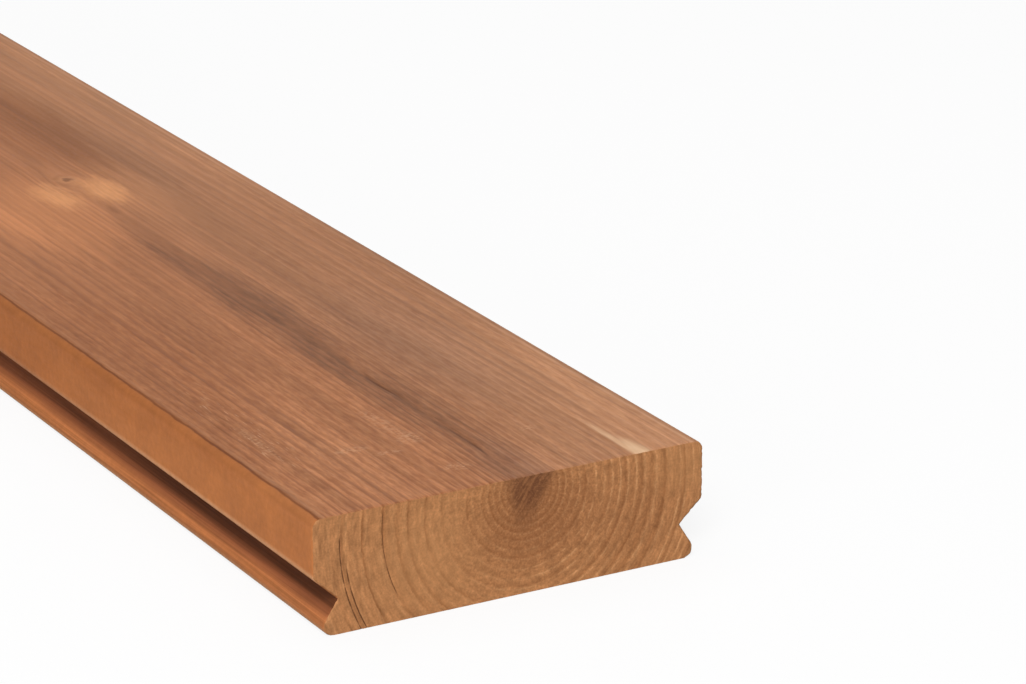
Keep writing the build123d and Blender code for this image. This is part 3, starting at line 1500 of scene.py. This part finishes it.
    def material(self, effects: WoodEffects) -> bpy.types.Material:
        """Builds the finish.

        Args:
            effects: The shared node groups.

        Returns:
            The material.
        """
        material, graph = self.begin()
        place = graph.vector("place")
        rings = graph.group(effects.rings, Growth=graph.value("growth"), Place=place, Waver=self.ring_waver)
        fibres = graph.group(effects.fibres, Place=place)
        jitter = graph.jitter(place, 2.5, 26.0, self.raggedness)
        calm = effects.spots(graph, place, jitter, self.calm)
        colour = self.grain(graph, place, rings, fibres, calm)
        colour = self.edges(graph, colour, place, fibres)
        colour = self.patches(graph, colour, place, jitter, effects, fibres)
        polish = graph.times(rings["Latewood"], self.polish)
        roughness = graph.math("SUBTRACT", graph.spread(fibres["Fine"], *self.roughness), polish)
        relief = graph.math("ADD", fibres["Fine"], graph.times(rings["Latewood"], self.raised_rings))
        self.feed(graph, colour, roughness, graph.times(relief, graph.spread(calm, *self.calm_relief)))
        return material

    def grain(self, graph: Graph, place: Socket, rings: Outputs, fibres: Outputs, calm: Socket) -> Socket:
        """Colour of the bare grain: short fibres from dark to pale, ring lines, and slow drifts of tone.

        Args:
            graph: Where the nodes go.
            place: Place on the board.
            rings: Growth rings.
            fibres: Fibres.
            calm: How far the fibres fade into one even colour.

        Returns:
            The colour's socket.
        """
        fine = graph.times(fibres["Fine"], self.fine_share)
        woven = graph.math("ADD", fine, graph.times(fibres["Short"], 1.0 - self.fine_share))
        woven = graph.map_range("LINEAR", woven, *self.weave, 0.0, 1.0)
        colour = graph.mix(woven, self.dark_fibre, self.pale_fibre)
        colour = graph.mix(graph.times(fibres["Dash"], self.dash_strength), colour, self.latewood)
        colour = graph.mix(calm, colour, self.even)
        sharp = graph.spread(calm, *self.calm_flecks)
        colour = graph.mix(graph.times(fibres["Fleck"], sharp), colour, self.springwood)
        broken = graph.spread(fibres["Streak"], *self.broken_rings)
        crisp = graph.times(rings["Latewood"], broken, graph.spread(calm, *self.calm_crisp_rings))
        soft = graph.times(rings["Soft"], graph.spread(calm, *self.calm_soft_rings))
        across = graph.axis(place, "X")
        fainter = graph.ramp(across, *self.fainter_rings_from, 1.0, self.fainter_rings)
        colour = graph.mix(graph.times(graph.math("ADD", crisp, soft), fainter), colour, self.latewood)
        colour = graph.mix(graph.times(rings["Springwood"], sharp), colour, self.springwood)
        colour = graph.vary(colour, rings["Tone"], self.tone_strength)
        for name, amount in self.fibre_strengths:
            colour = graph.vary(colour, fibres[name], amount)
        return colour

    def edges(self, graph: Graph, colour: Socket, place: Socket, fibres: Outputs) -> Socket:
        """Colour of the milled edges: mottled orange, painted shade in the groove, painted highlights above
        the groove and on the lip's foot, and at the arris a painted shade, a painted highlight strip and a
        dark line.

        Args:
            graph: Where the nodes go.
            colour: Colour of the grain.
            place: Place on the board.
            fibres: Fibres.

        Returns:
            The colour's socket.
        """
        groove, arris = graph.value("groove"), graph.value("arris")
        mottle = graph.noise(place, self.mottle_cells, 3.0, 0.7)
        cloud = graph.noise(place, self.cloud_cells, 2.0)
        tone = graph.mix(graph.times(cloud, self.orange_strength), self.milled, self.orange)
        tone = graph.vary(tone, mottle, self.mottle_strength)
        tone = graph.vary(tone, cloud, -self.cloud_strength)
        colour = graph.mix(graph.times(graph.value("milled"), self.milled_strength), colour, tone)
        # Painted shade in the groove: redder, streaked along the grain, and darker towards its apex.
        shadow_reddened = graph.mix(graph.ramp(groove, 0.0, 0.5, 0.0, self.shadow_reddening), colour, self.shadow)
        lined = graph.vary(shadow_reddened, graph.grain(place, 0.55, 45.0, 2.0, 0.6), self.strip_strength)
        colour = graph.mix(graph.ramp(groove, 0.0, 0.12), colour, lined)
        colour = graph.scale(colour, graph.spread(groove, 1.0, 0.0))
        # Painted highlights above the groove and on the lip's foot.
        lip_highlight = graph.times(graph.value("lip_highlight"), graph.spread(mottle, *self.lip_highlight_strength))
        colour = graph.mix(lip_highlight, colour, self.mouth_highlight)
        # Painted shade on the arris rounding below the top's rim, fading towards +X, then a painted
        # highlight strip just inside the rim.
        left = graph.ramp(graph.axis(place, "X"), *self.left_rim, 0.15, 1.0)
        below = graph.math("ABSOLUTE", graph.math("ADD", arris, self.shade_below_rim))
        shade = graph.times(graph.ramp(below, *self.shade_reach, 0.0, self.shade_strength), left)
        colour = graph.scale(colour, graph.spread(shade, 1.0, 0.0))
        strip = graph.band(arris, *self.rim_light)
        colour = graph.mix(graph.times(strip, self.rim_light_strength), colour, self.light)
        sway = graph.spread(graph.grain(place, 6.0, 9.0, 3.0, 0.6), *self.quirk_sway)
        off = graph.math("ABSOLUTE", graph.math("ADD", arris, sway))
        shown = graph.spread(fibres["Streak"], *self.shown_fibres)
        line = graph.times(graph.ramp(off, *self.quirk_reach), left, shown)
        return graph.mix(line, colour, self.quirk)

    def patches(self, graph: Graph, colour: Socket, place: Socket, jitter: Socket, effects: WoodEffects,
                fibres: Outputs) -> Socket:
        """Patches over the grain: lighter, orange and smoky areas, scuffs, flecks, knots and the check.

        Args:
            graph: Where the nodes go.
            colour: Colour of the grain and the edges.
            place: Place on the board.
            jitter: What makes the patches ragged.
            effects: The shared node groups.
            fibres: Fibres.

        Returns:
            The colour's socket.
        """
        # Bluer towards +X, and lighter in the patches below: partly paler wood, partly painted sheen on the
        # right of the top near the front end.
        colour = graph.tint(graph.ramp(graph.axis(place, "X"), *self.cool_from), colour, self.cool)
        areas = ((self.shaded, self.dusk), (self.greyed, self.dusty), (self.pale_and_sheen, self.pale_and_sheen_tint))
        for spots, factors in (*areas, (self.tan, self.amber)):
            colour = graph.tint(effects.spots(graph, place, jitter, spots), colour, factors)
        ragged = graph.jitter(place, 3.5, 9.0, 0.45)
        showing = graph.spread(fibres["Short"], *self.shown_fibres)
        bright = graph.times(effects.spots(graph, place, ragged, self.glow), showing)
        colour = graph.mix(bright, colour, self.lit)
        colour = graph.mix(effects.spots(graph, place, ragged, self.specks), colour, self.heart)
        stain = effects.spots(graph, place, jitter, self.smoky)
        colour = self.marked(graph, effects, colour, place, stain)
        rubbed = graph.ramp(graph.grain(place, 1.1, 0.7, 2.0, 0.6), 0.3, 0.8)
        scuffed = graph.times(effects.spots(graph, place, ragged, self.scuffs), rubbed, self.scuff_strength)
        colour = graph.mix(scuffed, colour, self.pale)
        flecks = graph.times(fibres["Fleck"], effects.spots(graph, place, jitter, self.flecked))
        colour = graph.mix(graph.times(flecks, self.fleck_strength), colour, self.pale)
        slight = graph.scale(jitter, 0.5)
        bare = graph.times(effects.spots(graph, place, slight, self.streaks), showing)
        return graph.mix(bare, colour, self.cream)


@dataclass(frozen=True)
class SawnPine(Finish):
    """Sawn ends: rings in arcs, and cut fibres as specks, blotches and clouds along them, and as rays.

    Each kind of mottling has its cells' sizes out from the pith and round it, in millimetres, its number
    of finer layers and how strong they are, and how much it lightens and darkens the wood. The pairs for
    lines, rings and arcs are their strengths towards -X and towards +X. Each fade is two values of a noise
    and then the strength at each.
    """

    name: str = "sawn_heat_treated_pine"
    specular: float = 0.1
    bump_strength: float = 0.12
    stained: Colour = (0.33, 0.28, 0.33)
    halo: Colour = (0.45, 0.2, 0.08)
    heart: Colour = (0.14, 0.058, 0.026)
    # Colour of the cracks: painted shade inside them.
    dark: Colour = (0.12, 0.047, 0.02)
    earlywood: Colour = (0.5, 0.222, 0.089)
    latewood: Colour = (0.27, 0.1, 0.034)
    springwood: Colour = (0.7, 0.345, 0.15)
    shaded: Colour = (0.25, 0.088, 0.033)
    light: Colour = (0.58, 0.275, 0.11)
    ring_waver: float = 0.16
    raggedness: float = 0.35
    roughness: Pair = (0.7, 0.85)
    sides: Pair = (-14.0 * MM, 12.0 * MM)
    dark_lines: Pair = (0.62, 0.45)
    dark_fade: tuple[float, float, float, float] = (0.2, 0.8, 0.15, 1.0)
    line_sharpness: float = 2.2
    soft_rings: Pair = (0.24, 0.36)
    pale_arcs: Pair = (0.35, 1.0)
    pale_fade: tuple[float, float, float, float] = (0.9, 0.3, 0.2, 0.95)
    streak_angle: float = math.radians(-35.0)
    speck_strength: float = 0.12
    mottling: tuple[tuple[float, float, float, float, float], ...] = (
        (0.6, 1.1, 1.0, 0.5, 0.16),
        (1.7, 2.6, 1.0, 0.5, 0.14),
        (5.0, 0.35, 2.0, 0.6, 0.06),
    )
    shade: tuple[Spot, ...] = (
        Spot((6.0, 0.0, 16.0), (25.0, 60.0, 17.0), 0.6),
        Spot((27.0, 0.0, 13.0), (19.0, 60.0, 15.0), 0.3),
        Spot((5.0, 1800.0, 15.0), (24.0, 60.0, 17.0), 0.5),
        Spot((-26.0, 1800.0, 10.0), (17.0, 60.0, 14.0), 0.3),
    )
    glow: tuple[Spot, ...] = (
        Spot((-20.0, 0.0, 12.0), (20.0, 60.0, 18.0), 0.35),
        Spot((42.0, 0.0, 21.0), (16.0, 60.0, 9.0), 0.3),
        Spot((28.0, 1800.0, 16.0), (20.0, 60.0, 16.0), 0.35),
    )

    def material(self, effects: WoodEffects) -> bpy.types.Material:
        """Builds the finish.

        Args:
            effects: The shared node groups.

        Returns:
            The material.
        """
        material, graph = self.begin()
        place, polar = graph.vector("place"), graph.vector("polar")
        specks = graph.noise(place, (0.45 * MM, 1.0, 0.45 * MM))
        colour = graph.vary(self.arcs(graph, effects, place, polar), specks, self.speck_strength)
        for outward, around, layers, rough, amount in self.mottling:
            mottle = graph.noise(polar, (outward * MM, around * MM, 1.0), layers, rough)
            colour = graph.vary(colour, mottle, amount)
        jitter = graph.jitter(place, 3.0, 26.0, self.raggedness)
        colour = graph.mix(effects.spots(graph, place, jitter, self.glow), colour, self.light)
        shade = graph.times(effects.spots(graph, place, jitter, self.shade), graph.spread(specks, 1.0, 0.6))
        colour = graph.mix(shade, colour, self.shaded)
        colour = self.marked(graph, effects, colour, place, self.wedge(graph, place))
        self.feed(graph, colour, graph.spread(specks, *self.roughness), specks)
        return material

    def arcs(self, graph: Graph, effects: WoodEffects, place: Socket, polar: Socket) -> Socket:
        """Colour of the rings: mostly dark lines towards -X, and mostly pale arcs towards +X.

        Args:
            graph: Where the nodes go.
            effects: The shared node groups.
            place: Place on the board.
            polar: Place round the pith.

        Returns:
            The colour's socket.
        """
        rings = graph.group(effects.rings, Growth=graph.value("growth"), Place=place, Waver=self.ring_waver)
        fade = graph.noise(polar, (4.0 * MM, 8.0 * MM, 1.0), 2.0)
        side = graph.ramp(graph.axis(place, "X"), *self.sides)
        clear = graph.spread(graph.value("stain"), 1.0, 0.1)
        dark = graph.times(graph.ramp(fade, *self.dark_fade), graph.spread(side, *self.dark_lines), clear)
        thin = graph.math("POWER", rings["Latewood"], self.line_sharpness)
        colour = graph.mix(graph.times(thin, dark), self.earlywood, self.latewood)
        broad = graph.times(rings["Soft"], graph.spread(side, *self.soft_rings), clear)
        colour = graph.mix(broad, colour, self.latewood)
        pale = graph.times(graph.ramp(fade, *self.pale_fade), graph.spread(side, *self.pale_arcs), clear)
        dashes = graph.ramp(graph.noise(polar, (1.3 * MM, 2.2 * MM, 1.0)), 0.2, 0.8, 0.25, 1.0)
        return graph.mix(graph.times(rings["Springwood"], pale, dashes), colour, self.springwood)

    def wedge(self, graph: Graph, place: Socket) -> Socket:
        """Stain of the wedge over the pith, broken by pale fibres that slant up towards +X.

        Args:
            graph: Where the nodes go.
            place: Place on the board.

        Returns:
            The stain's socket.
        """
        turned = graph.add("ShaderNodeVectorRotate", rotation_type="Y_AXIS")
        graph.join(turned.inputs["Vector"], place)
        graph.join(turned.inputs["Angle"], self.streak_angle)
        fibres = graph.noise(turned.outputs[0], (0.8 * MM, 1.0, 5.0 * MM))
        return graph.times(graph.value("stain"), graph.ramp(fibres, 0.95, 0.35, 0.5, 1.0))


@dataclass(frozen=True)
class Softbox:
    """A square lamp: where it hangs, what it points at, its side and its power in watts."""

    name: str
    place: Colour
    aim: Colour
    side: float
    power: float

    def build(self) -> bpy.types.Object:
        """Hangs the lamp.

        Returns:
            The lamp's object.
        """
        lamp = bpy.data.lights.new(self.name, "AREA")
        lamp.size = self.side
        lamp.energy = self.power
        holder = bpy.data.objects.new(self.name, lamp)
        holder.location = self.place
        holder.rotation_mode = "QUATERNION"
        holder.rotation_quaternion = (Vector(self.aim) - Vector(self.place)).to_track_quat("-Z", "Y")
        bpy.context.scene.collection.objects.link(holder)
        return holder


@dataclass(frozen=True)
class Studio:
    """Pale floor, soft lamps, white surroundings and the camera at the photograph's viewing angle."""

    front: float
    azimuth: float = -29.577
    elevation: float = 19.515
    lens: float = 154.48
    distance: float = 0.8916
    aim_across: float = 0.00016
    aim_height: float = 0.05576
    floor_reach: float = 40.0
    floor_colour: Colour = (0.97, 0.97, 0.97)
    floor_bounce: Colour = (0.2, 0.2, 0.2)
    floor_lift: float = 0.86
    ambient: float = 0.24

    def build(self) -> None:
        """Builds the floor, the surroundings, the lamps and the camera."""
        self.floor()
        self.world()
        for lamp in self.lamps():
            lamp.build()
        self.camera()
        bpy.context.scene.view_settings.view_transform = "Standard"

    def lamps(self) -> tuple[Softbox, ...]:
        """Key light over the camera's shoulder, a low one to its left, one above and one behind."""
        return (
            Softbox("key_softbox", (-1.2, self.front - 1.85, 2.0), (0.0, self.front + 0.2, 0.0), 1.3, 72.0),
            Softbox("side_softbox", (-2.7, self.front - 1.3, 0.6), (0.0, self.front + 0.3, 0.0), 1.2, 26.0),
            Softbox("top_softbox", (-0.2, 0.4, 2.6), (0.0, 0.4, 0.0), 2.0, 14.0),
            Softbox("back_softbox", (1.9, 2.6, 1.6), (0.0, 0.5, 0.0), 1.6, 14.0),
        )

    @staticmethod
    def seen(graph: Graph) -> Socket:
        """Tells the rays that are seen from those that only light the scene.

        Args:
            graph: Where the nodes go.

        Returns:
            Socket of 1 for rays from the camera and for mirrored and refracted ones, and 0 for the rest.
        """
        path = graph.add("ShaderNodeLightPath").outputs
        sharp = graph.math("MAXIMUM", path["Is Glossy Ray"], path["Is Transmission Ray"])
        return graph.math("MAXIMUM", path["Is Camera Ray"], sharp)

    def floor(self) -> bpy.types.Object:
        """White floor that keeps the board's shadow, lifted towards white where the camera sees it.

        Returns:
            The floor's object.
        """
        reach = self.floor_reach
        mesh = bpy.data.meshes.new("studio_floor")
        corners = [(-reach, -reach, 0.0), (reach, -reach, 0.0), (reach, reach, 0.0), (-reach, reach, 0.0)]
        mesh.from_pydata(corners, [], [(0, 1, 2, 3)])
        material = bpy.data.materials.new("studio_floor")
        material.use_nodes = True
        graph = Graph(material.node_tree)
        graph.tree.nodes.clear()
        matt = graph.add("ShaderNodeBsdfDiffuse")
        seen = self.seen(graph)
        graph.join(matt.inputs["Color"], graph.mix(seen, self.floor_bounce, self.floor_colour))
        white = graph.add("ShaderNodeEmission")
        blend = graph.add("ShaderNodeMixShader")
        graph.join(blend.inputs[0], graph.math("MULTIPLY", seen, self.floor_lift))
        graph.join(blend.inputs[1], matt.outputs[0])
        graph.join(blend.inputs[2], white.outputs[0])
        graph.join(graph.add("ShaderNodeOutputMaterial").inputs["Surface"], blend.outputs[0])
        mesh.materials.append(material)
        floor = bpy.data.objects.new("studio_floor", mesh)
        bpy.context.scene.collection.objects.link(floor)
        return floor

    def world(self) -> None:
        """Even light from all round, which the camera sees as white."""
        world = bpy.data.worlds.new("studio_surroundings")
        world.use_nodes = True
        bpy.context.scene.world = world
        graph = Graph(world.node_tree)
        back = graph.tree.nodes["Background"]
        graph.join(back.inputs["Color"], (1.0, 1.0, 1.0))
        graph.join(back.inputs["Strength"], graph.spread(self.seen(graph), self.ambient, 1.0))

    def camera(self) -> bpy.types.Object:
        """Camera on a sphere round its aim, at the photograph's azimuth and elevation.

        Returns:
            The camera's object.
        """
        turn, rise = math.radians(self.azimuth), math.radians(self.elevation)
        back = Vector((math.sin(turn) * math.cos(rise), -math.cos(turn) * math.cos(rise), math.sin(rise)))
        lens = bpy.data.cameras.new("photo_camera")
        lens.lens = self.lens
        lens.clip_start = 0.01
        camera = bpy.data.objects.new("photo_camera", lens)
        camera.location = Vector((self.aim_across, self.front, self.aim_height)) + back * self.distance
        camera.rotation_mode = "QUATERNION"
        camera.rotation_quaternion = (-back).to_track_quat("-Z", "Y")
        bpy.context.scene.collection.objects.link(camera)
        bpy.context.scene.camera = camera
        return camera


def main() -> None:
    logging.basicConfig(level=logging.INFO, format="%(name)s: %(message)s")
    low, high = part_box(NODE)
    size = high - low
    Studio(front=low.y).build()
    effects = WoodEffects()
    moulding = EdgeMoulding(width=size.x, thickness=size.z)
    board = DeckingBoard(moulding, length=size.y)
    piece = board.build(PlanedPine().material(effects), SawnPine().material(effects))
    faces = len(piece.data.polygons)
    log.info("%s: %d faces, %d triangles", piece.name, faces, 2 * faces)


if __name__ == "__main__":
    main()
